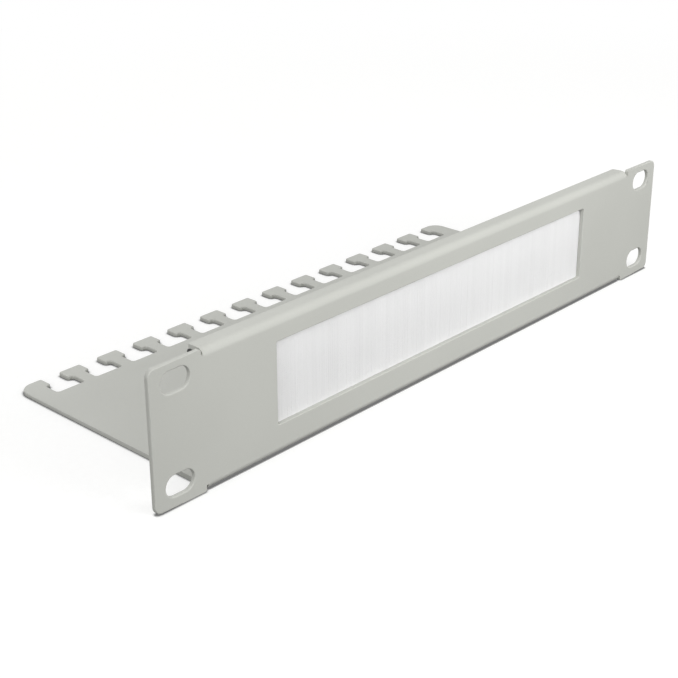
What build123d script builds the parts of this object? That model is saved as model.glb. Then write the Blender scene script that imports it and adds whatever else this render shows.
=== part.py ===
from build123d import *
import math
import os

# Ten inch rack panel, one unit high, with a brush behind its cable window and a comb-edged tray.
# Frame: X along the rack's width, Y to the rear, Z up, in millimetres.
# The origin is the centre of the four ear slots, on the rear face of the ears.

# Sheet and its bends
sheet_thickness = 1.5
bend_inner_radius = 1.0
bend_relief_gap = 0.8
bend_relief_depth = 2.0

# Ears and their slots
panel_width = 254.0
ear_width = 19.0
ear_outer_corner_radius = 2.5
ear_inner_corner_radius = 0.8
ear_slot_length = 10.5
ear_slot_height = 6.8
ear_slot_rise = 31.75
ear_slot_foot = 6.7
ear_slot_head = 5.95

# Top flange
flange_depth = 6.4
flange_drop = 0.3
flange_corner_radius = 0.6

# Tray and its comb of T slots
tray_depth = 92.0
tray_corner_radius = 5.0
comb_pitch = 15.72
comb_slot_depth = 11.75
comb_head_depth = 5.4
comb_mouth_width = 7.1
comb_throat_width = 11.0
comb_head_corner_radius = 0.8
comb_throat_corner_radius = 1.0
comb_step_flat_least = 0.05
comb_end_finger_least = 6.5

# Cable window
window_side_margin = 48.0
window_sill = 9.8
window_corner_radius = 0.5

# Brush channel, crimped at its mouth, and the tape that holds it
channel_width = 5.2
channel_height = 5.3
channel_wall = 0.7
channel_inner_corner_radius = 0.5
channel_crimp_height = 1.7
channel_crimp_lean = 0.35
channel_end_inset = 0.25
channel_top_clearance = 0.2
channel_window_setback = 0.3
tape_thickness = 0.3
tape_edge_inset = 0.3
tape_end_inset = 1.0

# Core wire and bristles
core_wire_diameter = 1.2
core_wire_clearance = 0.15
core_wire_end_inset = 0.5
bristle_root_clearance = 0.15
bristle_plate_clearance = 0.1
bristle_pack_depth = 5.0
bristle_flare_height = 3.5
bristle_sill_overlap = 1.8
bristle_end_inset = 0.3
tuft_pitch = 4.0
tuft_crown = 0.4
tip_step = 2.0
tip_raggedness = 0.9

# The tips' line: share of the raggedness, turn from step to step and start, for each of its waves
tip_waves = ((0.3, 2.4, 0.0), (0.2, 5.3, 1.0))

# How far cutting shapes run past what they cut, and how near a corner lies to its stated place
overcut = 1.0
corner_tolerance = 1e-4

# Places that follow from the sizes above
front_y = -sheet_thickness
half_width = panel_width / 2
ear_inner_x = half_width - ear_width
ear_centre_x = half_width - ear_width / 2
fold_half_width = ear_inner_x - bend_relief_gap
bend_outer_radius = bend_inner_radius + sheet_thickness
foot_z = -ear_slot_rise / 2 - ear_slot_foot
ear_top_z = ear_slot_rise / 2 + ear_slot_head
tray_top_z = foot_z + sheet_thickness
tray_rear_y = front_y + tray_depth
tray_front_y = front_y + bend_outer_radius
flange_top_z = ear_top_z - flange_drop
flange_under_z = flange_top_z - sheet_thickness
flange_rear_y = front_y + flange_depth
comb_step_width = (comb_throat_width - comb_mouth_width) / 2
comb_throat_radius_limit = comb_step_width - comb_head_corner_radius - comb_step_flat_least
comb_throat_radius = min(comb_throat_corner_radius, comb_throat_radius_limit)
comb_base_y = tray_rear_y - comb_slot_depth
comb_head_y = tray_rear_y - comb_head_depth
comb_room = 2 * (fold_half_width - comb_end_finger_least) - comb_throat_width
comb_slot_count = int(comb_room / comb_pitch) + 1
comb_centres = [(i - (comb_slot_count - 1) / 2) * comb_pitch for i in range(comb_slot_count)]
channel_front_y = tape_thickness
channel_centre_y = channel_front_y + channel_width / 2
channel_top_z = flange_under_z - channel_top_clearance
channel_mouth_z = channel_top_z - channel_height
channel_crimp_z = channel_mouth_z + channel_crimp_height
channel_outer_corner_radius = channel_inner_corner_radius + channel_wall
channel_length = 2 * (fold_half_width - channel_end_inset)
window_half_width = half_width - window_side_margin
window_bottom_z = foot_z + window_sill
window_top_z = channel_mouth_z - channel_window_setback
bristle_root_half_depth = channel_width / 2 - channel_wall - bristle_root_clearance
bristle_neck_half_depth = bristle_root_half_depth - channel_crimp_lean
core_wire_z = channel_top_z - channel_wall - bristle_root_clearance - bristle_root_half_depth
bristle_front_y = bristle_plate_clearance
bristle_rear_y = bristle_front_y + bristle_pack_depth
bristle_tip_z = window_bottom_z - bristle_sill_overlap
bristle_flare_z = channel_mouth_z - bristle_flare_height
bristle_length = channel_length - 2 * bristle_end_inset


def band(plane, width, low, high, middle=0.0):
    """Rectangle on a plane, of one width, from a low to a high place along the plane's second axis."""
    return plane * Pos(middle, (low + high) / 2) * Rectangle(width, high - low)


def corners(shape, points):
    """The shape's corners that lie over or at the given points, each with None where any value will do."""
    def matches(vertex, point):
        return all(want is None or abs(have - want) < corner_tolerance for have, want in zip(vertex, point))
    return [v for v in shape.vertices() if any(matches((v.X, v.Y, v.Z), p) for p in points)]


def fold_strip():
    """The middle of the sheet in one bent strip: start of the tray, front web and top flange."""
    stub_y = tray_front_y + sheet_thickness
    outer = FilletPolyline(
        (0, stub_y, foot_z),
        (0, front_y, foot_z),
        (0, front_y, flange_top_z),
        (0, flange_rear_y, flange_top_z),
        radius=bend_outer_radius,
    )
    inner = FilletPolyline(
        (0, stub_y, tray_top_z),
        (0, 0, tray_top_z),
        (0, 0, flange_under_z),
        (0, flange_rear_y, flange_under_z),
        radius=bend_inner_radius,
    )
    section = make_face([outer, inner, Line(outer @ 0, inner @ 0), Line(outer @ 1, inner @ 1)])
    strip = extrude(section, fold_half_width, dir=(1, 0, 0), both=True)
    ends = [(x, flange_rear_y, None) for x in (-fold_half_width, fold_half_width)]
    upright = strip.edges().filter_by(Axis.Z)
    rounded = [e for e in upright if len(corners(e, ends)) == 2]
    return fillet(rounded, flange_corner_radius)


def ear_plate():
    """The flat front with its ears, cut back for the bends and slit beside them."""
    plate = band(Plane.XZ, panel_width, foot_z, ear_top_z)
    for half, low, high in (
        (fold_half_width, foot_z + bend_outer_radius, flange_top_z - bend_outer_radius),
        (ear_inner_x, foot_z + bend_relief_depth, ear_top_z - bend_relief_depth),
    ):
        plate -= band(Plane.XZ, 2 * half, foot_z - overcut, low)
        plate -= band(Plane.XZ, 2 * half, high, ear_top_z + overcut)
    for x, radius in ((half_width, ear_outer_corner_radius), (ear_inner_x, ear_inner_corner_radius)):
        tips = [(side * x, None, z) for side in (-1, 1) for z in (foot_z, ear_top_z)]
        plate = fillet(corners(plate, tips), radius)
    return extrude(plate, sheet_thickness)


def tray():
    """The flat tray with its rear comb: T heads on narrow necks, and half a finger at each end."""
    outline = band(Plane.XY, 2 * fold_half_width, tray_front_y, tray_rear_y)
    for x in comb_centres:
        outline -= band(Plane.XY, comb_mouth_width, comb_base_y, tray_rear_y + overcut, x)
        outline -= band(Plane.XY, comb_throat_width, comb_base_y, comb_head_y, x)
    mouth_sides = [x + side * comb_mouth_width / 2 for x in comb_centres for side in (-1, 1)]
    throat_sides = [x + side * comb_throat_width / 2 for x in comb_centres for side in (-1, 1)]
    tray_sides = (-fold_half_width, fold_half_width)
    for sides, depths, radius in (
        (tray_sides, (tray_rear_y,), tray_corner_radius),
        (mouth_sides, (comb_head_y, tray_rear_y), comb_head_corner_radius),
        (throat_sides, (comb_base_y, comb_head_y), comb_throat_radius),
    ):
        outline = fillet(corners(outline, [(x, y, None) for x in sides for y in depths]), radius)
    return Pos(0, 0, foot_z) * extrude(outline, sheet_thickness)


def through_front(outline, x, z):
    """Cutter for an opening of one outline in the front, centred at one place."""
    depth = sheet_thickness + overcut
    return extrude(Plane.XZ * Pos(x, z) * outline, depth, both=True)


def panel():
    """One folded sheet: ears, front with its window, top flange and comb-edged tray."""
    body = fold_strip() + ear_plate() + tray()
    window = RectangleRounded(2 * window_half_width, window_top_z - window_bottom_z, window_corner_radius)
    body -= through_front(window, 0, (window_top_z + window_bottom_z) / 2)
    slot = SlotOverall(ear_slot_length, ear_slot_height)
    for x in (-ear_centre_x, ear_centre_x):
        for z in (-ear_slot_rise / 2, ear_slot_rise / 2):
            body -= through_front(slot, x, z)
    return body


def channel_outline(inset, mouth_z, corner_radius):
    """The channel's section, set in from its outer face: leaning lips, straight legs and top."""
    side = channel_width / 2 - inset
    top = channel_top_z - inset
    right = [(side - channel_crimp_lean, mouth_z), (side, channel_crimp_z), (side, top)]
    left = [(-y, z) for y, z in reversed(right)]
    face = make_face(Polyline(*[(0, channel_centre_y + y, z) for y, z in right + left], close=True))
    return fillet(corners(face, [(None, None, top)]), corner_radius)


def brush_channel():
    """Strip folded over the bristles, its mouth crimped on them."""
    section = channel_outline(0.0, channel_mouth_z, channel_outer_corner_radius)
    section -= channel_outline(channel_wall, channel_mouth_z - overcut, channel_inner_corner_radius)
    return extrude(section, channel_length / 2, dir=(1, 0, 0), both=True)


def mounting_tape():
    """Thin tape between the front plate and the channel's flat front leg."""
    low = channel_crimp_z + tape_edge_inset
    flat_top = min(channel_top_z - channel_outer_corner_radius, flange_under_z - bend_inner_radius)
    face = band(Plane.XZ, channel_length - 2 * tape_end_inset, low, flat_top - tape_edge_inset)
    return extrude(face, -tape_thickness)


def wire_cylinder(radius, length):
    """Cylinder along the core wire's line."""
    return Pos(0, channel_centre_y, core_wire_z) * Cylinder(radius, length, rotation=(0, 90, 0))


def core_wire():
    """Wire that the bristles are doubled over."""
    return wire_cylinder(core_wire_diameter / 2, channel_length - 2 * core_wire_end_inset)


def bristle_pack():
    """Smooth pack: round over the wire, pinched at the channel's mouth and spread below it."""
    front = channel_centre_y - bristle_front_y + tuft_crown
    rear = bristle_rear_y - channel_centre_y + tuft_crown
    half_root = bristle_root_half_depth
    half_neck = bristle_neck_half_depth
    sides = [
        (half_root, core_wire_z), (half_root, channel_crimp_z), (half_neck, channel_mouth_z),
        (rear, bristle_flare_z), (rear, bristle_tip_z), (-front, bristle_tip_z), (-front, bristle_flare_z),
        (-half_neck, channel_mouth_z), (-half_root, channel_crimp_z), (-half_root, core_wire_z),
    ]
    outline = Polyline(*[(0, channel_centre_y + y, z) for y, z in sides])
    loop_top = (0, channel_centre_y, core_wire_z + half_root)
    loop = ThreePointArc(outline @ 0, loop_top, outline @ 1)
    return extrude(make_face([outline, loop]), bristle_length / 2, dir=(1, 0, 0), both=True)


def tuft_columns():
    """A row of upright columns, one for each tuft, crowned at the front and at the rear."""
    count = max(1, round(bristle_length / tuft_pitch))
    pitch = bristle_length / count
    edges = [-bristle_length / 2 + i * pitch for i in range(count + 1)]
    front = bristle_front_y + tuft_crown
    rear = bristle_rear_y - tuft_crown
    outline = [Line((x, front), (x, rear)) for x in (edges[0], edges[-1])]
    for low, high in zip(edges, edges[1:]):
        middle = (low + high) / 2
        outline.append(ThreePointArc((low, front), (middle, bristle_front_y), (high, front)))
        outline.append(ThreePointArc((low, rear), (middle, bristle_rear_y), (high, rear)))
    return Pos(0, 0, bristle_tip_z) * extrude(make_face(outline), channel_top_z - bristle_tip_z)


def tip_cutter():
    """What is trimmed off below the tips, whose line rises and falls by less than a millimetre."""
    count = max(2, round(bristle_length / tip_step))
    low = bristle_tip_z - overcut
    level = sum(share for share, turn, start in tip_waves)
    outline = [(-bristle_length / 2 - overcut, low)]
    for i in range(count + 1):
        wave = level + sum(share * math.sin(turn * i + start) for share, turn, start in tip_waves)
        x = (i / count - 0.5) * (bristle_length + 2 * overcut)
        outline.append((x, bristle_tip_z + tip_raggedness * wave))
    outline.append((bristle_length / 2 + overcut, low))
    face = Plane.XZ * make_face(Polyline(*outline, close=True))
    return Pos(0, channel_centre_y, 0) * extrude(face, bristle_pack_depth + overcut, both=True)


def bristles():
    """Bristles doubled over the core wire, spread below the channel and ragged at their tips."""
    pack = bristle_pack() & tuft_columns()
    tunnel = wire_cylinder(core_wire_diameter / 2 + core_wire_clearance, channel_length)
    return pack - tip_cutter() - tunnel


nodes = {
    "panel": panel,
    "brush_channel": brush_channel,
    "mounting_tape": mounting_tape,
    "core_wire": core_wire,
    "bristles": bristles,
}

os.makedirs("parts", exist_ok=True)
for name, make in nodes.items():
    export_step(make(), f"parts/{name}.step")
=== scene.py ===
"""Looks of a ten inch rack brush strip panel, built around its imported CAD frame.

The brush channel, its wire and its tape keep their CAD shapes and get their finishes here.
The folded sheet gets round cut edges, and the brush is modelled filament by filament.

Lengths are in metres, in the frame of the CAD model: X along the rack, Y to the rear, Z up.
The origin lies between the four ear slots, on the rear face of the ears.
"""

from __future__ import annotations

import logging
import math
from dataclasses import dataclass
from enum import Enum

import bmesh
import bpy
import numpy as np
from mathutils import Matrix, Vector

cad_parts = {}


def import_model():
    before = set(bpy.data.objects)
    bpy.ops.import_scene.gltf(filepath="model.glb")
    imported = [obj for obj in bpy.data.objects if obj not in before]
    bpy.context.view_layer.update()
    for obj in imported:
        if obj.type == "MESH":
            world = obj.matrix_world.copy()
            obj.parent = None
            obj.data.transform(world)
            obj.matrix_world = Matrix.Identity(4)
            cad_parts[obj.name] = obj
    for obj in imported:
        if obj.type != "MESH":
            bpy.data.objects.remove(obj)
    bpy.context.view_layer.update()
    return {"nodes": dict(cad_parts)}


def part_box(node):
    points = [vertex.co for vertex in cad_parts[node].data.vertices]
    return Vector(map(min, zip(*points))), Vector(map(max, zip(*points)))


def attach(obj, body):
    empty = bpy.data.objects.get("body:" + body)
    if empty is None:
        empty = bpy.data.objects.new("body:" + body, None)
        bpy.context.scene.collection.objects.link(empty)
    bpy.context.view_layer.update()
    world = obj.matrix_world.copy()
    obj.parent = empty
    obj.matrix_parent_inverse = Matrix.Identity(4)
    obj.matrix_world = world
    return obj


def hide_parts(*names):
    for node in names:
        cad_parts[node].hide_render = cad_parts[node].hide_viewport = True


LOG = logging.getLogger("brush_strip_panel")
MM = 0.001
BODY = "root"

# Underside of the tray and of the ears
FOOT_Z = -22.575 * MM

# A point this close to a plane lies on it
ON_PLANE = 0.001 * MM

# Most values of a noise lie between these two
NOISE_SPAN = (0.3, 0.7)

# Positions from nought to one, each with its hex colour
Ramp = tuple[tuple[float, str], ...]


def linear(hex_colour: str) -> tuple[float, float, float, float]:
    """Turns an sRGB hex colour into linear light.

    Args:
        hex_colour: Six hex digits with a leading hash sign.

    Returns:
        Red, green, blue and an alpha of one.
    """
    parts = [int(hex_colour[i : i + 2], 16) / 255.0 for i in (1, 3, 5)]
    light = [c / 12.92 if c <= 0.04045 else ((c + 0.055) / 1.055) ** 2.4 for c in parts]
    return light[0], light[1], light[2], 1.0


def add_node(
    tree: bpy.types.NodeTree,
    kind: str,
    settings: dict[str, object] | None = None,
    values: dict[str | int, object] | None = None,
    links: dict[str | int, bpy.types.NodeSocket] | None = None,
) -> bpy.types.Node:
    """Adds one shader node with its settings, its input values and its incoming links.

    Args:
        tree: The node tree that takes the node.
        kind: Blender's name of the node type, without its ShaderNode prefix.
        settings: Properties of the node itself.
        values: Input sockets, by name or number, and the constants they get.
        links: Input sockets, by name or number, and the output sockets they read.

    Returns:
        The new node.
    """
    node = tree.nodes.new("ShaderNode" + kind)
    for name, value in (settings or {}).items():
        setattr(node, name, value)
    for key, value in (values or {}).items():
        node.inputs[key].default_value = value
    for key, source in (links or {}).items():
        tree.links.new(source, node.inputs[key])
    return node


def set_ramp(node: bpy.types.Node, stops: Ramp) -> bpy.types.Node:
    """Gives a colour ramp its stops.

    Args:
        node: A colour ramp node.
        stops: Positions from nought to one, each with its hex colour.

    Returns:
        The same node.
    """
    elements = node.color_ramp.elements
    while len(elements) < len(stops):
        elements.new(1.0)
    for element, (position, colour) in zip(elements, stops):
        element.position = position
        element.color = linear(colour)
    return node


def give(piece: bpy.types.Object, material: bpy.types.Material) -> None:
    """Puts one material in all slots of a piece.

    Args:
        piece: The mesh object.
        material: Its finish.
    """
    if not piece.material_slots:
        piece.data.materials.append(material)
    for slot in piece.material_slots:
        slot.material = material


class Direction(Enum):
    """The way that a pattern is drawn out, as the scale of its space along each axis."""

    NONE = (1.0, 1.0, 1.0)
    ALONG_X = (0.02, 1.0, 1.0)
    ALONG_Z = (1.0, 1.0, 0.02)


class CutEdge(Enum):
    """The radius that deburring leaves on a cut edge, on the near and the far sides."""

    NEAR = 0.45 * MM
    FAR = 0.28 * MM


@dataclass(frozen=True)
class Pattern:
    """A noise that is fixed to the object.

    Attributes:
        grain: Width of one grain.
        detail: Octaves of finer noise on top.
        height: How far it stands out of the surface, if it does.
        drawn: The way that its grains are drawn out.
    """

    grain: float
    detail: float
    height: float = 0.0
    drawn: Direction = Direction.NONE

    def add(self, tree: bpy.types.NodeTree) -> bpy.types.NodeSocket:
        """Adds the noise to a material.

        Args:
            tree: The node tree that takes it.

        Returns:
            Its values from nought to one, most of them near the middle.
        """
        place = add_node(tree, "TexCoord")
        mapped = add_node(
            tree,
            "Mapping",
            values={"Scale": self.drawn.value},
            links={"Vector": place.outputs["Object"]},
        )
        noise = add_node(
            tree,
            "TexNoise",
            values={"Scale": 1.0 / self.grain, "Detail": self.detail},
            links={"Vector": mapped.outputs["Vector"]},
        )
        return noise.outputs["Fac"]


@dataclass(frozen=True)
class Finish:
    """What all finishes share: a new material, and how its surface takes the light.

    Attributes:
        name: The material's name.
        tones: The colours along the values of a pattern.
        roughness: The roughness at the low and at the high side of a pattern.
        ior: Refractive index. A metal keeps the default.
        specular: Strength of the reflection, a half for what the index gives.
        metallic: One for bare metal, else nought.
    """

    name: str
    tones: Ramp
    roughness: tuple[float, float]
    ior: float = 1.5
    specular: float = 0.5
    metallic: float = 0.0

    def start(self) -> tuple[bpy.types.NodeTree, bpy.types.Node]:
        """Makes the empty material.

        Returns:
            The material's node tree and its Principled shader.
        """
        material = bpy.data.materials.new(self.name)
        material.use_nodes = True
        tree = material.node_tree
        return tree, tree.nodes["Principled BSDF"]

    def complete(
        self,
        tree: bpy.types.NodeTree,
        shader: bpy.types.Node,
        colour: bpy.types.NodeSocket,
        gloss: bpy.types.NodeSocket,
        reliefs: list[tuple[bpy.types.NodeSocket, float]],
    ) -> bpy.types.Material:
        """Gives the shader its colour, its gloss and its relief.

        Args:
            tree: The material's node tree.
            shader: Its Principled shader.
            colour: The finished colour.
            gloss: Values of the pattern that spreads the roughness over its range.
            reliefs: Values of the patterns that stand out, coarsest first, and their heights.

        Returns:
            The finished material.
        """
        spread = add_node(
            tree,
            "MapRange",
            values={
                "From Min": NOISE_SPAN[0],
                "From Max": NOISE_SPAN[1],
                "To Min": self.roughness[0],
                "To Max": self.roughness[1],
            },
            links={"Value": gloss},
        )
        below: dict[str | int, bpy.types.NodeSocket] = {}
        for values, height in reliefs:
            bump = add_node(
                tree,
                "Bump",
                values={"Distance": height, "Strength": 1.0},
                links={"Height": values, **below},
            )
            below = {"Normal": bump.outputs["Normal"]}
        tree.links.new(colour, shader.inputs["Base Color"])
        tree.links.new(spread.outputs["Result"], shader.inputs["Roughness"])
        tree.links.new(below["Normal"], shader.inputs["Normal"])
        shader.inputs["IOR"].default_value = self.ior
        shader.inputs["Specular IOR Level"].default_value = self.specular
        shader.inputs["Metallic"].default_value = self.metallic
        return bpy.data.materials[self.name]


@dataclass(frozen=True)
class PowderCoat(Finish):
    """Light grey polyester powder coat, baked on sheet steel.

    It gives the eye a satin skin with wide, barely seen clouds, a faint orange peel and a very
    fine grit. Real grit is about 0.1 mm wide, too fine to show, so it is drawn coarser. At the
    rounded cut edges the coat is thinner and is painted a touch paler, a painted highlight there.
    """

    tones: Ramp = ((0.3, "#bfc0ba"), (0.7, "#c3c4be"))
    roughness: tuple[float, float] = (0.58, 0.66)
    specular: float = 0.2
    cloud: Pattern = Pattern(38.0 * MM, detail=1.0)
    peel: Pattern = Pattern(1.3 * MM, detail=1.5, height=0.012 * MM)
    grit: Pattern = Pattern(0.35 * MM, detail=3.0, height=0.004 * MM)
    grit_share: float = 0.06
    rim_attribute: str = "coat_rim"
    rim_highlight_colour: str = "#cdcec9"
    rim_highlight_share: float = 0.05

    def material(self) -> bpy.types.Material:
        """Builds the coat.

        Returns:
            The finished material.
        """
        tree, shader = self.start()
        cloud = self.cloud.add(tree)
        grit = self.grit.add(tree)
        peel = self.peel.add(tree)
        tone = set_ramp(add_node(tree, "ValToRGB", links={"Fac": cloud}), self.tones)
        speck = add_node(
            tree,
            "Mix",
            settings={"data_type": "RGBA", "blend_type": "MULTIPLY"},
            values={"Factor": self.grit_share},
            links={"A": tone.outputs["Color"], "B": grit},
        )
        # Painted highlight: the rounded cut edges are mixed a touch paler
        rim = add_node(tree, "Attribute", settings={"attribute_name": self.rim_attribute})
        painted_rim_highlight = add_node(
            tree,
            "Math",
            settings={"operation": "MULTIPLY"},
            values={1: self.rim_highlight_share},
            links={0: rim.outputs["Fac"]},
        )
        coat = add_node(
            tree,
            "Mix",
            settings={"data_type": "RGBA"},
            values={"B": linear(self.rim_highlight_colour)},
            links={"Factor": painted_rim_highlight.outputs["Value"], "A": speck.outputs["Result"]},
        )
        reliefs = [(peel, self.peel.height), (grit, self.grit.height)]
        return self.complete(tree, shader, coat.outputs["Result"], peel, reliefs)


@dataclass(frozen=True)
class BakedEnamel(Finish):
    """Black enamel, baked on the rolled steel of the brush channel.

    It gives the eye a dark gloss that is dulled in lengthwise bands by the forming rollers.
    """

    tones: Ramp = ((0.4, "#0f0f0e"), (0.75, "#191917"))
    roughness: tuple[float, float] = (0.28, 0.45)
    bands: Pattern = Pattern(0.9 * MM, detail=3.0, drawn=Direction.ALONG_X)
    grain: Pattern = Pattern(0.4 * MM, detail=2.0, height=0.006 * MM)

    def material(self) -> bpy.types.Material:
        """Builds the enamel.

        Returns:
            The finished material.
        """
        tree, shader = self.start()
        bands = self.bands.add(tree)
        grain = self.grain.add(tree)
        tone = set_ramp(add_node(tree, "ValToRGB", links={"Fac": bands}), self.tones)
        reliefs = [(grain, self.grain.height)]
        return self.complete(tree, shader, tone.outputs["Color"], bands, reliefs)


@dataclass(frozen=True)
class DrawnSteel(Finish):
    """Bright steel wire, drawn through a die.

    It gives the eye a metal with fine lengthwise scratches. Real ones are some hundredths of a
    millimetre wide, too fine to show, so they are drawn coarser.
    """

    tones: Ramp = ((0.35, "#9a9a96"), (0.65, "#bcbcb8"))
    roughness: tuple[float, float] = (0.24, 0.4)
    metallic: float = 1.0
    scratches: Pattern = Pattern(
        0.12 * MM, detail=3.0, height=0.003 * MM, drawn=Direction.ALONG_X
    )

    def material(self) -> bpy.types.Material:
        """Builds the metal.

        Returns:
            The finished material.
        """
        tree, shader = self.start()
        scratches = self.scratches.add(tree)
        tone = set_ramp(add_node(tree, "ValToRGB", links={"Fac": scratches}), self.tones)
        reliefs = [(scratches, self.scratches.height)]
        return self.complete(tree, shader, tone.outputs["Color"], scratches, reliefs)


@dataclass(frozen=True)
class FoamTape(Finish):
    """Double-sided acrylic foam tape.

    It gives the eye a matt, faintly pitted off-white.
    """

    tones: Ramp = ((0.35, "#bdbcb5"), (0.55, "#d6d5cf"))
    roughness: tuple[float, float] = (0.85, 0.7)
    cells: Pattern = Pattern(0.25 * MM, detail=2.0, height=0.03 * MM)

    def material(self) -> bpy.types.Material:
        """Builds the foam.

        Returns:
            The finished material.
        """
        tree, shader = self.start()
        cells = self.cells.add(tree)
        tone = set_ramp(add_node(tree, "ValToRGB", links={"Fac": cells}), self.tones)
        reliefs = [(cells, self.cells.height)]
        return self.complete(tree, shader, tone.outputs["Color"], cells, reliefs)


@dataclass(frozen=True)
class NylonFilament(Finish):
    """White polyamide monofilament, extruded and cut.

    It gives the eye pale, softly glossy strands with faint streaks from the die, each strand a
    little lighter or darker than its neighbour. Light that wanders through a pack of them keeps
    its gaps pale, so the darkest tone stays close to the lightest one.
    """

    tones: Ramp = ((0.0, "#e6e6e6"), (1.0, "#ececec"))
    roughness: tuple[float, float] = (0.38, 0.5)
    ior: float = 1.53
    specular: float = 0.3
    streaks: Pattern = Pattern(
        0.05 * MM, detail=1.0, height=0.002 * MM, drawn=Direction.ALONG_Z
    )
    tone_attribute: str = "filament_tone"

    def material(self) -> bpy.types.Material:
        """Builds the nylon.

        Returns:
            The finished material.
        """
        tree, shader = self.start()
        share = add_node(tree, "Attribute", settings={"attribute_name": self.tone_attribute})
        tone = set_ramp(
            add_node(tree, "ValToRGB", links={"Fac": share.outputs["Fac"]}), self.tones
        )
        streaks = self.streaks.add(tree)
        reliefs = [(streaks, self.streaks.height)]
        return self.complete(tree, shader, tone.outputs["Color"], streaks, reliefs)


@dataclass
class FoldedPanel:
    """The folded sheet with its ears, window, flange and comb tray.

    The CAD sheet has sharp cut edges. On the real one they are deburred before coating: well
    round on the sides that hands and cables meet, which are the front of the plate and the top
    of the tray, and barely on the far sides. A copy of the sheet gets them here, and takes the
    place of the CAD node.

    Attributes:
        node: The CAD node.
        slot: Its material slot's name; not used.
        coat: Its finish.
        edge_steps: Strips that round one edge.
        edge_profile: Shape of the rounding, a half for a circle's arc.
        foot_z: Height of the tray's underside.
        flange_under_z: Height of the flange's underside.
        level: How close an edge lies to the face that it belongs to.
        relief_side: Reach of a bend relief along X, on either side.
        relief_rear: How far the bend reliefs reach to the rear.
        window_side: Half the length of a span round the cable window.
        window_levels: Heights of that span, which holds no other edge.
        rear_half: Depth behind which a window edge is a rear one.
        sharp: Least angle between the two faces of a cut edge.
        corner: Least angle between two faces that are shaded apart.
        flat_angle: Largest angle between the triangles of a flat face.
        flat_weight: How strongly large faces keep the shading flat.
        weld: Largest distance between points that are one.
    """

    node: str = "panel"
    slot: str = "powder_coat"
    coat: PowderCoat = PowderCoat("light_grey_polyester_powder_coat")
    edge_steps: int = 3
    edge_profile: float = 0.5
    foot_z: float = FOOT_Z
    flange_under_z: float = 20.025 * MM
    level: float = 0.05 * MM
    relief_side: tuple[float, float] = (106.0 * MM, 108.9 * MM)
    relief_rear: float = 3.0 * MM
    window_side: float = 100.0 * MM
    window_levels: tuple[float, float] = (-14.0 * MM, 15.5 * MM)
    rear_half: float = -0.5 * MM
    sharp: float = math.radians(55.0)
    corner: float = math.radians(40.0)
    flat_angle: float = math.radians(0.3)
    flat_weight: int = 100
    weld: float = 0.002 * MM

    def build(self, nodes: dict[str, bpy.types.Object]) -> bpy.types.Object:
        """Rounds the sheet's cut edges and coats it.

        Args:
            nodes: The CAD nodes by name.

        Returns:
            The coated sheet, riding on the frame.
        """
        sheet = bpy.data.objects.new("coated_sheet", nodes[self.node].data.copy())
        bpy.context.scene.collection.objects.link(sheet)
        bpy.ops.object.select_all(action="DESELECT")
        sheet.select_set(True)
        bpy.context.view_layer.objects.active = sheet
        self.clean(sheet)
        for side in CutEdge:
            self.round_edges(sheet, side)
            self.mark_rims(sheet)
        self.merge_ends(sheet)
        self.settle_normals(sheet)
        give(sheet, self.coat.material())
        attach(sheet, BODY)
        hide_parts(self.node)
        LOG.info("%s: %d faces, powder coated", sheet.name, len(sheet.data.polygons))
        return sheet

    def clean(self, sheet: bpy.types.Object) -> None:
        """Welds the sheet's loose triangles and clears its flat faces.

        Args:
            sheet: The copy of the CAD sheet.
        """
        bpy.ops.object.mode_set(mode="EDIT")
        bpy.ops.mesh.select_all(action="SELECT")
        bpy.ops.mesh.remove_doubles(threshold=self.weld)
        bpy.ops.mesh.dissolve_limited(angle_limit=self.flat_angle)
        bpy.ops.mesh.customdata_custom_splitnormals_clear()
        bpy.ops.object.mode_set(mode="OBJECT")
        sheet.data.attributes.new(self.coat.rim_attribute, "FLOAT", "FACE")

    def round_edges(self, sheet: bpy.types.Object, side: CutEdge) -> None:
        """Rounds the cut edges on one side of the sheet and leaves their strips selected.

        Args:
            sheet: The welded sheet.
            side: Which edges are rounded, and how much.
        """
        bpy.ops.object.mode_set(mode="EDIT")
        bpy.ops.mesh.select_mode(type="EDGE")
        bpy.ops.mesh.select_all(action="DESELECT")
        edit = bmesh.from_edit_mesh(sheet.data)
        for edge in edit.edges:
            outer = edge.is_manifold and edge.calc_face_angle_signed() > self.sharp
            chosen = outer and self.side_of(edge) is side and not self.stays_sharp(edge)
            edge.select_set(chosen)
        edit.select_flush_mode()
        bmesh.update_edit_mesh(sheet.data)
        bpy.ops.mesh.bevel(
            offset=side.value,
            offset_type="OFFSET",
            segments=self.edge_steps,
            profile=self.edge_profile,
            affect="EDGES",
            clamp_overlap=False,
        )
        bpy.ops.object.mode_set(mode="OBJECT")

    def side_of(self, edge: bmesh.types.BMEdge) -> CutEdge:
        """Says on which side of the sheet an edge lies.

        Args:
            edge: The edge.

        Returns:
            Far for the plate's rear face, the tray's underside and the flange's, and for the
            cable window, whose edges lie close to the brush. Near for all others.
        """
        middle = (edge.verts[0].co + edge.verts[1].co) / 2
        behind = middle.y > self.level
        under_tray = behind and middle.z < self.foot_z + self.level
        under_flange = behind and abs(middle.z - self.flange_under_z) < self.level
        at_rear_face = abs(middle.y) < self.level
        far = at_rear_face or under_tray or under_flange or self.at_window(middle)
        return CutEdge.FAR if far else CutEdge.NEAR

    def at_window(self, place: Vector) -> bool:
        """Says whether a place lies at the cable window's edges."""
        low, high = self.window_levels
        return abs(place.x) < self.window_side and low < place.z < high

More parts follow.
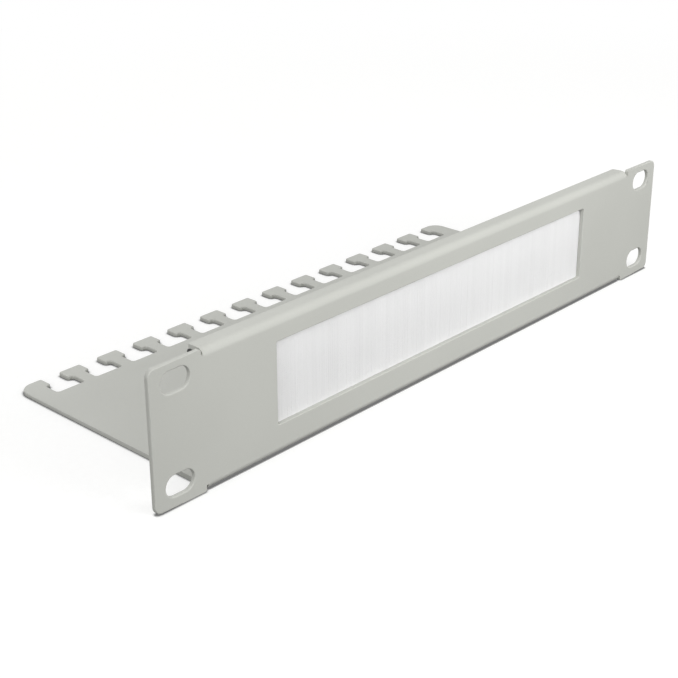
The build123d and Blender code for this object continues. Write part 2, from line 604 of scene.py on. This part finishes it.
    def stays_sharp(self, edge: bmesh.types.BMEdge) -> bool:
        """Says whether deburring leaves an edge alone.

        The bend reliefs are cuts too narrow for it, and the window's rear rim keeps the edge
        that the brush lies against.

        Args:
            edge: The edge.

        Returns:
            Whether it stays as it is cut.
        """
        middle = (edge.verts[0].co + edge.verts[1].co) / 2
        inner, outer = self.relief_side
        at_relief = inner < abs(middle.x) < outer and middle.y < self.relief_rear
        at_brush = self.at_window(middle) and middle.y > self.rear_half
        return at_relief or at_brush

    def mark_rims(self, sheet: bpy.types.Object) -> None:
        """Marks the faces that were rounded last, which are still selected, for the painted rim
        highlight.

        Args:
            sheet: The rounded sheet.
        """
        faces = sheet.data.polygons
        chosen = np.zeros(len(faces), dtype=bool)
        faces.foreach_get("select", chosen)
        rim = sheet.data.attributes[self.coat.rim_attribute]
        marks = np.zeros(len(faces), dtype=np.float32)
        rim.data.foreach_get("value", marks)
        rim.data.foreach_set("value", np.maximum(marks, chosen.astype(np.float32)))

    def merge_ends(self, sheet: bpy.types.Object) -> None:
        """Merges the points that fall together where a rounding runs out at a sharp edge.

        Args:
            sheet: The rounded sheet.
        """
        bpy.ops.object.mode_set(mode="EDIT")
        bpy.ops.mesh.select_all(action="SELECT")
        bpy.ops.mesh.remove_doubles(threshold=self.weld)
        bpy.ops.object.mode_set(mode="OBJECT")

    def settle_normals(self, sheet: bpy.types.Object) -> None:
        """Shades the sheet smoothly, with its large faces kept flat and its corners crisp.

        Args:
            sheet: The rounded sheet.
        """
        sheet.data.shade_smooth()
        sheet.data.set_sharp_from_angle(angle=self.corner)
        flat = sheet.modifiers.new("flat_faces", "WEIGHTED_NORMAL")
        flat.mode = "FACE_AREA"
        flat.weight = self.flat_weight
        flat.keep_sharp = True
        bpy.ops.object.modifier_apply(modifier=flat.name)


@dataclass
class BrushHolder:
    """The black channel that grips the brush, its core wire and its mounting tape."""

    channel: str = "brush_channel"
    wire: str = "core_wire"
    tape: str = "mounting_tape"
    enamel: BakedEnamel = BakedEnamel("black_baked_enamel")
    steel: DrawnSteel = DrawnSteel("bright_drawn_steel_wire")
    foam: FoamTape = FoamTape("acrylic_foam_tape")

    def dress(self, nodes: dict[str, bpy.types.Object]) -> None:
        """Gives the channel, the wire and the tape their finishes.

        Args:
            nodes: The CAD nodes by name.
        """
        finishes = {self.channel: self.enamel, self.wire: self.steel, self.tape: self.foam}
        for name, finish in finishes.items():
            give(nodes[name], finish.material())
            LOG.info("%s: %s", name, finish.name)


@dataclass
class BristlePack:
    """The brush: thousands of nylon filaments that hang from the channel past the window.

    The pack is narrow where the channel's lips grip it and flares below them. Its filaments
    lean together in soft clumps, as packed bristles do, and their cut ends are a bit ragged.

    Attributes:
        node: The CAD node that the bays replace.
        slot: Its material slot's name; not used.
        nylon: Its finish.
        bays: Meshes along the brush, each of a size that is exported whole.
        rows: Filaments from the front of the pack to its rear.
        pitch: Distance between the filaments of a row.
        stagger: How far each row is shifted, to left and right by turns, in shares of the pitch.
        jitter: How far a filament strays along its row, in shares of the pitch.
        row_jitter: How far it strays across its row, in shares of the rows' distance.
        diameter: Thickness of a filament.
        sides: Faces round a filament.
        tip_inset: Width of the bevel at a cut end, as a share of the thickness.
        tip_dome: Height of that bevel, as a share of the thickness.
        end_inset: Room that is left at both ends of the pack.
        root_z: Height of the filaments' roots.
        mouth_z: Height of the channel's lips.
        flare_z: Height from which the pack has its full depth.
        mouth_y: Depth of the middle of the pack between the lips.
        mouth_half: Half of its depth there.
        raggedness: How much shorter than the longest a filament may be.
        ragged_skew: Shape of the beta distribution of the shortening.
        bow: How far a filament bows out sideways, as a share of its stray.
        sway: How late along its length a filament leans.
        clump: Width of a clump.
        clump_jitter: How far a clump strays, as a share of its width.
        clump_pull: Share of the way to a clump's middle that a tip leans.
        clump_sink: How deep a clump may sink into the pack.
        clump_tones: The range of the clumps' tones.
        tone_spread: How much filaments differ in tone within a clump.
        stray: How far a tip strays sideways.
        press: How far the outer filaments stand past the CAD pack, close up to the plate.
        seed: The start of all chance.
    """

    node: str = "bristles"
    slot: str = "bristle"
    nylon: NylonFilament = NylonFilament("white_nylon_monofilament")
    bays: int = 4
    rows: int = 12
    pitch: float = 0.30 * MM
    stagger: float = 0.25
    jitter: float = 0.05
    row_jitter: float = 0.35
    diameter: float = 0.32 * MM
    sides: int = 5
    tip_inset: float = 0.16
    tip_dome: float = 0.12
    end_inset: float = 0.2 * MM
    root_z: float = 16.3 * MM
    mouth_z: float = 14.4 * MM
    flare_z: float = 11.0 * MM
    mouth_y: float = 2.9 * MM
    mouth_half: float = 1.22 * MM
    raggedness: float = 0.9 * MM
    ragged_skew: tuple[float, float] = (1.3, 3.0)
    bow: float = 0.6
    sway: float = 1.2
    clump: float = 1.9 * MM
    clump_jitter: float = 0.3
    clump_pull: float = 0.02
    clump_sink: float = 0.03 * MM
    clump_tones: tuple[float, float] = (0.35, 0.85)
    tone_spread: float = 0.08
    stray: float = 0.01 * MM
    press: float = 0.08 * MM
    seed: int = 41

    def build(self) -> list[bpy.types.Object]:
        """Plants all filaments, one mesh for each bay along the brush.

        Returns:
            The pieces, dressed and riding on the frame.
        """
        low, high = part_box(self.node)
        strand, faces = self.model_filament(low)
        material = self.nylon.material()
        rng = np.random.default_rng(self.seed)
        edges = np.linspace(low.x + self.end_inset, high.x - self.end_inset, self.bays + 1)
        pieces = []
        for number, (start, end) in enumerate(zip(edges[:-1], edges[1:]), 1):
            lines, tones = self.lay_out(rng, start, end, low, high)
            piece = self.plant(f"bristles_bay_{number}", strand, faces, lines, tones)
            give(piece, material)
            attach(piece, BODY)
            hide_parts(self.node)
            LOG.info("%s: %d filaments", piece.name, len(tones))
            pieces.append(piece)
        return pieces

    def ring_heights(self, tip_z: float) -> list[float]:
        """Gives the heights where a filament may bend, from its root to its tip.

        Args:
            tip_z: Height of the longest tips.

        Returns:
            The heights of the inner rings.
        """
        middle = (self.flare_z + tip_z) / 2
        throat = (self.mouth_z + self.flare_z) / 2
        return [self.mouth_z, throat, self.flare_z, middle, tip_z + self.diameter]

    def model_filament(self, low: Vector) -> tuple[np.ndarray, list[tuple[int, ...]]]:
        """Models one straight filament and removes its object again.

        Args:
            low: Lowest corner of the CAD brush.

        Returns:
            The filament's points around the Z axis, and its faces.
        """
        bpy.ops.object.select_all(action="DESELECT")
        length = self.root_z - low.z
        bpy.ops.mesh.primitive_cylinder_add(
            vertices=self.sides,
            radius=self.diameter / 2,
            depth=length,
            end_fill_type="NGON",
            location=(0.0, 0.0, (self.root_z + low.z) / 2),
        )
        bpy.ops.object.transform_apply(location=True, rotation=False, scale=False)
        strand = bpy.context.object
        bpy.ops.object.mode_set(mode="EDIT")
        bpy.ops.mesh.select_mode(type="FACE")
        for height in self.ring_heights(low.z):
            bpy.ops.mesh.select_all(action="SELECT")
            bpy.ops.mesh.bisect(plane_co=(0.0, 0.0, height), plane_no=(0.0, 0.0, 1.0))
        self.select_end(strand, low.z)
        bpy.ops.mesh.inset(thickness=self.diameter * self.tip_inset, depth=0.0)
        bpy.ops.transform.translate(value=(0.0, 0.0, -self.diameter * self.tip_dome))
        bpy.ops.object.mode_set(mode="OBJECT")
        points = np.array([v.co for v in strand.data.vertices])
        points[:, 2] = np.maximum(points[:, 2], low.z)
        faces = [tuple(p.vertices) for p in strand.data.polygons]
        mesh = strand.data
        bpy.data.objects.remove(strand)
        bpy.data.meshes.remove(mesh)
        return points, faces

    @staticmethod
    def select_end(strand: bpy.types.Object, height: float) -> None:
        """Selects the face at one end of a filament that is being edited.

        Args:
            strand: The filament.
            height: Where that end lies.
        """
        bpy.ops.mesh.select_all(action="DESELECT")
        bpy.ops.object.mode_set(mode="OBJECT")
        for face in strand.data.polygons:
            face.select = all(
                abs(strand.data.vertices[v].co.z - height) < ON_PLANE for v in face.vertices
            )
        bpy.ops.object.mode_set(mode="EDIT")

    def lay_out(
        self, rng: np.random.Generator, start: float, end: float, low: Vector, high: Vector
    ) -> tuple[dict[str, np.ndarray], np.ndarray]:
        """Chooses where each filament of a bay starts, flares and ends.

        Args:
            rng: The seeded source of chance.
            start: Where the bay begins along X.
            end: Where it ends.
            low: Lowest corner of the CAD brush.
            high: Its highest corner.

        Returns:
            The filaments' places by name, and a tone for each from nought to one.
        """
        radius = self.diameter / 2
        half = (high.y - low.y) / 2 - radius + self.press
        centre = (high.y + low.y) / 2
        columns = max(1, round((end - start) / self.pitch))
        step = (end - start) / columns
        x, row = np.meshgrid(start + (np.arange(columns) + 0.5) * step, np.arange(self.rows))
        x = x + np.where(row % 2, self.stagger, -self.stagger) * step
        x = (x + rng.uniform(-self.jitter, self.jitter, x.shape) * step).ravel()
        inner = (row > 0) & (row < self.rows - 1)
        shuffled = row + rng.uniform(-self.row_jitter, self.row_jitter, row.shape) * inner
        depth = (2 * shuffled / (self.rows - 1) - 1).ravel()

        centres, sinks, shades = self.clumps(rng, start, end)
        nearest = np.abs(x[:, None] - centres[None, :]).argmin(axis=1)
        lean = (centres[nearest] - x) * self.clump_pull + rng.normal(0.0, self.stray, x.shape)
        tip_x = np.clip(x + lean, low.x + radius, high.x - radius)
        sink = sinks[nearest] * np.abs(depth)
        tip_y = centre + np.sign(depth) * (np.abs(depth) * half - sink)
        tones = shades[nearest] + rng.normal(0.0, self.tone_spread, x.shape)
        lines = {
            "x": x,
            "mouth_y": self.mouth_y + depth * self.mouth_half,
            "tip_x": tip_x,
            "tip_y": tip_y,
            "tip_rise": rng.beta(*self.ragged_skew, x.shape) * self.raggedness,
            "bow": rng.normal(0.0, self.stray * self.bow, x.shape),
        }
        return lines, np.clip(tones, 0.0, 1.0)

    def clumps(
        self, rng: np.random.Generator, start: float, end: float
    ) -> tuple[np.ndarray, np.ndarray, np.ndarray]:
        """Chooses the clumps that filaments lean towards.

        Args:
            rng: The seeded source of chance.
            start: Where the bay begins along X.
            end: Where it ends.

        Returns:
            The clumps' places along X, how far their faces sink, and their tones.
        """
        count = max(2, round((end - start) / self.clump))
        step = (end - start) / count
        centres = start + (np.arange(count) + 0.5) * step
        centres = centres + rng.uniform(-self.clump_jitter, self.clump_jitter, count) * step
        sinks = rng.uniform(0.0, self.clump_sink, count)
        return centres, sinks, rng.uniform(*self.clump_tones, count)

    def plant(
        self,
        name: str,
        strand: np.ndarray,
        faces: list[tuple[int, ...]],
        lines: dict[str, np.ndarray],
        tones: np.ndarray,
    ) -> bpy.types.Object:
        """Copies the filament to every place of a bay and bends each copy along its line.

        Args:
            name: The piece's name.
            strand: The straight filament's points.
            faces: Its faces.
            lines: The filaments' places.
            tones: Their tones.

        Returns:
            The bay's mesh object.
        """
        heights = strand[:, 2]
        tip = heights.min()
        fall = np.clip((self.mouth_z - heights) / (self.mouth_z - tip), 0.0, 1.0)
        flare = np.clip((self.mouth_z - heights) / (self.mouth_z - self.flare_z), 0.0, 1.0)
        flare = np.sin(flare * math.pi / 2)
        column = {key: value[:, None] for key, value in lines.items()}
        swing = np.sin(fall * math.pi)[None, :]
        lean = (column["tip_x"] - column["x"]) * fall**self.sway
        x = column["x"] + lean + column["bow"] * swing
        y = column["mouth_y"] + (column["tip_y"] - column["mouth_y"]) * flare
        z = heights[None, :] + column["tip_rise"] * fall
        points = np.stack([x + strand[None, :, 0], y + strand[None, :, 1], z], axis=2)

        count, size = len(tones), len(strand)
        every = [
            tuple(v + number * size for v in face) for number in range(count) for face in faces
        ]
        mesh = bpy.data.meshes.new(name)
        mesh.from_pydata(points.reshape(-1, 3), [], every)
        tone = mesh.attributes.new(self.nylon.tone_attribute, "FLOAT", "POINT")
        tone.data.foreach_set("value", np.repeat(tones, size).astype(np.float32))
        mesh.shade_smooth()
        mesh.update()
        piece = bpy.data.objects.new(name, mesh)
        bpy.context.scene.collection.objects.link(piece)
        return piece


@dataclass(frozen=True)
class Softbox:
    """One soft lamp of the studio."""

    name: str
    place: tuple[float, float, float]
    aim: tuple[float, float, float]
    width: float
    height: float
    power: float
    colour: str = "#ffffff"

    def light(self) -> bpy.types.Object:
        """Hangs the lamp and turns it to its aim.

        Returns:
            The lamp's object.
        """
        lamp = bpy.data.lights.new(self.name, "AREA")
        lamp.shape = "RECTANGLE"
        lamp.size = self.width
        lamp.size_y = self.height
        lamp.energy = self.power
        lamp.color = linear(self.colour)[:3]
        lamp_object = bpy.data.objects.new(self.name, lamp)
        bpy.context.scene.collection.objects.link(lamp_object)
        lamp_object.location = self.place
        way = Vector(self.aim) - Vector(self.place)
        lamp_object.rotation_euler = way.to_track_quat("-Z", "Y").to_euler()
        return lamp_object


@dataclass
class Studio:
    """The pale floor, the white backdrop, the lamps and the camera.

    Attributes:
        foot_z: Height of the tray's underside.
        floor_gap: Room between it and the floor.
        floor_size: Length and width of the floor.
        floor_cells: Faces of the floor along either.
        tones: The colours along the values of the floor's fibre noise.
        gain: What brings the floor's paper to white under the lamps.
        table_colour: Colour of the floor as a light on the object.
        fibre: Width of one fibre clump.
        fibre_detail: Octaves of finer noise on top.
        shadow_share: How much of its shadow the floor keeps near the object.
        shadow_reach: Distances from the origin over which it fades to none.
        contact_reach: How far above the floor something still casts the painted contact shadow.
        contact_samples: Rays that look for it.
        contact_line: Share of the sky that a point keeps, and the floor's painted shade there.
        ambient: Strength of the even light from all round.
        camera_place: The camera's place.
        camera_yaw: Its turn to the right of the Y axis, in degrees.
        camera_pitch: Its tilt above the horizon.
        camera_roll: Its turn about its own axis.
        focal_pixels: Its focal length in pixels of the photograph.
        frame_pixels: Width and height of the photograph.
        middle_row: The row that the camera's axis meets.
        film: Width of the camera's film, in millimetres.
        near_clip: Where the camera starts to see.
        softboxes: The lamps.
    """

    foot_z: float = FOOT_Z
    floor_gap: float = 0.02 * MM
    floor_size: float = 6.0
    floor_cells: int = 12
    tones: Ramp = ((0.3, "#f1f1ef"), (0.7, "#f8f8f7"))
    gain: float = 1.2
    table_colour: str = "#3a3a39"
    fibre: float = 1.6 * MM
    fibre_detail: float = 3.0
    shadow_share: float = 0.4
    shadow_reach: tuple[float, float] = (0.22, 0.6)
    contact_reach: float = 1.2 * MM
    contact_samples: int = 8
    contact_line: Ramp = (
        (0.20, "#8c8c8c"),
        (0.40, "#707070"),
        (0.60, "#747474"),
        (0.92, "#ffffff"),
    )
    ambient: float = 0.69
    camera_place: tuple[float, float, float] = (-336.82 * MM, -264.16 * MM, 182.05 * MM)
    camera_yaw: float = 47.26
    camera_pitch: float = -22.831
    camera_roll: float = -0.177
    focal_pixels: float = 1403.38
    frame_pixels: float = 678.0
    middle_row: float = 300.0
    film: float = 36.0
    near_clip: float = 0.01
    softboxes: tuple[Softbox, ...] = (
        Softbox(
            "front_softbox",
            place=(0.035, -0.30, 0.12),
            aim=(0.02, 0.0, 0.0),
            width=0.3,
            height=0.16,
            power=0.71,
        ),
        Softbox(
            "left_softbox",
            place=(-1.9, -0.9, 1.0),
            aim=(0.0, 0.03, 0.0),
            width=1.4,
            height=1.1,
            power=17.0,
        ),
        Softbox(
            "rear_softbox",
            place=(0.9, 2.4, 0.8),
            aim=(0.0, 0.03, 0.0),
            width=1.4,
            height=1.0,
            power=18.0,
        ),
    )

    def build(self) -> None:
        """Sets up everything around the object."""
        self.lay_floor()
        self.hang_backdrop()
        for softbox in self.softboxes:
            softbox.light()
        self.set_camera()
        bpy.context.scene.view_settings.view_transform = "Standard"
        LOG.info("studio: floor, backdrop, %d softboxes, camera", len(self.softboxes))

    def lay_floor(self) -> bpy.types.Object:
        """Lays the floor under the tray.

        Returns:
            The floor's object.
        """
        bpy.ops.object.select_all(action="DESELECT")
        bpy.ops.mesh.primitive_grid_add(
            x_subdivisions=self.floor_cells,
            y_subdivisions=self.floor_cells,
            size=self.floor_size,
            location=(0.0, 0.0, self.foot_z - self.floor_gap),
        )
        floor = bpy.context.object
        bpy.ops.object.transform_apply(location=True, rotation=False, scale=False)
        floor.name = "studio_floor"
        floor.data.materials.append(self.paper())
        return floor

    @staticmethod
    def background_rays(tree: bpy.types.NodeTree) -> bpy.types.NodeSocket:
        """Adds up the rays that look at the backdrop itself.

        Args:
            tree: The node tree that takes the nodes.

        Returns:
            One for camera, glossy and transmission rays, else nought.
        """
        path = add_node(tree, "LightPath")
        some = add_node(
            tree,
            "Math",
            settings={"operation": "MAXIMUM"},
            links={0: path.outputs["Is Camera Ray"], 1: path.outputs["Is Glossy Ray"]},
        )
        every = add_node(
            tree,
            "Math",
            settings={"operation": "MAXIMUM"},
            links={0: some.outputs["Value"], 1: path.outputs["Is Transmission Ray"]},
        )
        return every.outputs["Value"]

    def paper(self) -> bpy.types.Material:
        """Makes the floor's pale matt paper, which fades to white away from the object.

        Returns:
            The floor's material.
        """
        material = bpy.data.materials.new("pale_studio_paper")
        material.use_nodes = True
        tree = material.node_tree
        tree.nodes.clear()
        place = add_node(tree, "TexCoord").outputs["Object"]
        seen = self.background_rays(tree)
        # Painted contact shadow, which dims both the paper's colour and its white glow
        contact = self.contact(tree)
        matt = add_node(
            tree, "BsdfDiffuse", links={"Color": self.paper_colour(tree, place, contact, seen)}
        )
        glow = add_node(
            tree,
            "Emission",
            values={"Color": linear("#ffffff")},
            links={"Strength": contact},
        )
        mixed = add_node(
            tree,
            "MixShader",
            links={
                "Fac": self.white_share(tree, place, seen),
                1: matt.outputs["BSDF"],
                2: glow.outputs["Emission"],
            },
        )
        add_node(tree, "OutputMaterial", links={"Surface": mixed.outputs["Shader"]})
        return material

    def contact(self, tree: bpy.types.NodeTree) -> bpy.types.NodeSocket:
        """Paints a contact shadow on the paper in the crack under the sheet.

        The photograph is cut out on white, and only a thin dark line shows under the sheet's
        lower edges. This gives the floor such a line. It is darkest beside the edge.

        Args:
            tree: The node tree that takes the nodes.

        Returns:
            The painted contact shadow, as the paper's brightness: one away from the crack.
        """
        crevice = add_node(
            tree,
            "AmbientOcclusion",
            settings={"samples": self.contact_samples},
            values={"Distance": self.contact_reach},
        )
        # Painted contact shadow: darkest beside the edge, a little lighter deep under the
        # overhang
        contact = set_ramp(
            add_node(tree, "ValToRGB", links={"Fac": crevice.outputs["AO"]}), self.contact_line
        )
        return contact.outputs["Color"]

    def paper_colour(
        self,
        tree: bpy.types.NodeTree,
        place: bpy.types.NodeSocket,
        contact: bpy.types.NodeSocket,
        seen: bpy.types.NodeSocket,
    ) -> bpy.types.NodeSocket:
        """Gives the paper its fibres, and a dark table's colour as a light on the object.

        Args:
            tree: The node tree that takes the nodes.
            place: The point on the floor.
            contact: The painted contact shadow, as the paper's brightness.
            seen: One where the floor is looked at, else nought.

        Returns:
            The colour.
        """
        fibres = add_node(
            tree,
            "TexNoise",
            values={"Scale": 1.0 / self.fibre, "Detail": self.fibre_detail},
            links={"Vector": place},
        )
        tone = set_ramp(
            add_node(tree, "ValToRGB", links={"Fac": fibres.outputs["Fac"]}), self.tones
        )
        gain = add_node(
            tree,
            "Math",
            settings={"operation": "MULTIPLY"},
            values={1: self.gain},
            links={0: contact},
        )
        paper = add_node(
            tree,
            "VectorMath",
            settings={"operation": "SCALE"},
            links={0: tone.outputs["Color"], "Scale": gain.outputs["Value"]},
        )
        colour = add_node(
            tree,
            "Mix",
            settings={"data_type": "RGBA"},
            values={"A": linear(self.table_colour)},
            links={"Factor": seen, "B": paper.outputs["Vector"]},
        )
        return colour.outputs["Result"]

    def white_share(
        self,
        tree: bpy.types.NodeTree,
        place: bpy.types.NodeSocket,
        seen: bpy.types.NodeSocket,
    ) -> bpy.types.NodeSocket:
        """Fades the paper and its shadow to white away from the object.

        Args:
            tree: The node tree that takes the nodes.
            place: The point on the floor.
            seen: One where the floor is looked at, else nought.

        Returns:
            The share of white.
        """
        away = add_node(tree, "VectorMath", settings={"operation": "LENGTH"}, links={0: place})
        near, far = self.shadow_reach
        white = add_node(
            tree,
            "MapRange",
            settings={"interpolation_type": "SMOOTHSTEP"},
            values={"From Min": near, "From Max": far, "To Min": 0.0, "To Max": 1.0},
            links={"Value": away.outputs["Value"]},
        )
        whiter = add_node(
            tree,
            "Math",
            settings={"operation": "MAXIMUM"},
            values={1: 1.0 - self.shadow_share},
            links={0: white.outputs["Result"]},
        )
        share = add_node(
            tree,
            "Math",
            settings={"operation": "MULTIPLY"},
            links={0: whiter.outputs["Value"], 1: seen},
        )
        return share.outputs["Value"]

    def hang_backdrop(self) -> None:
        """Makes the world white to look at, and a plain even grey as a light."""
        world = bpy.data.worlds.new("studio_backdrop")
        bpy.context.scene.world = world
        world.use_nodes = True
        tree = world.node_tree
        tree.nodes.clear()
        white = add_node(tree, "Background", values={"Color": linear("#ffffff"), "Strength": 1.0})
        soft = add_node(
            tree, "Background", values={"Color": linear("#ffffff"), "Strength": self.ambient}
        )
        mixed = add_node(
            tree,
            "MixShader",
            links={
                "Fac": self.background_rays(tree),
                1: soft.outputs["Background"],
                2: white.outputs["Background"],
            },
        )
        add_node(tree, "OutputWorld", links={"Surface": mixed.outputs["Shader"]})

    def set_camera(self) -> bpy.types.Object:
        """Places the camera at the photograph's viewing angle.

        Returns:
            The camera's object.
        """
        camera = bpy.data.cameras.new("studio_camera")
        camera.sensor_width = self.film
        camera.lens = self.focal_pixels / self.frame_pixels * self.film
        camera.shift_y = self.middle_row / self.frame_pixels - 0.5
        camera.clip_start = self.near_clip
        camera_object = bpy.data.objects.new("studio_camera", camera)
        bpy.context.scene.collection.objects.link(camera_object)
        # An unturned camera looks straight down, so a quarter turn levels it first
        turn = (
            Matrix.Rotation(math.radians(-self.camera_yaw), 4, "Z")
            @ Matrix.Rotation(math.radians(90.0 + self.camera_pitch), 4, "X")
            @ Matrix.Rotation(math.radians(self.camera_roll), 4, "Z")
        )
        camera_object.matrix_world = Matrix.Translation(self.camera_place) @ turn
        bpy.context.scene.camera = camera_object
        return camera_object


def main() -> None:
    """Builds the looks around the frame."""
    logging.basicConfig(level=logging.INFO, format="%(name)s: %(message)s")
    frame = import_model()
    FoldedPanel().build(frame["nodes"])
    BrushHolder().dress(frame["nodes"])
    BristlePack().build()
    Studio().build()


if __name__ == "__main__":
    main()
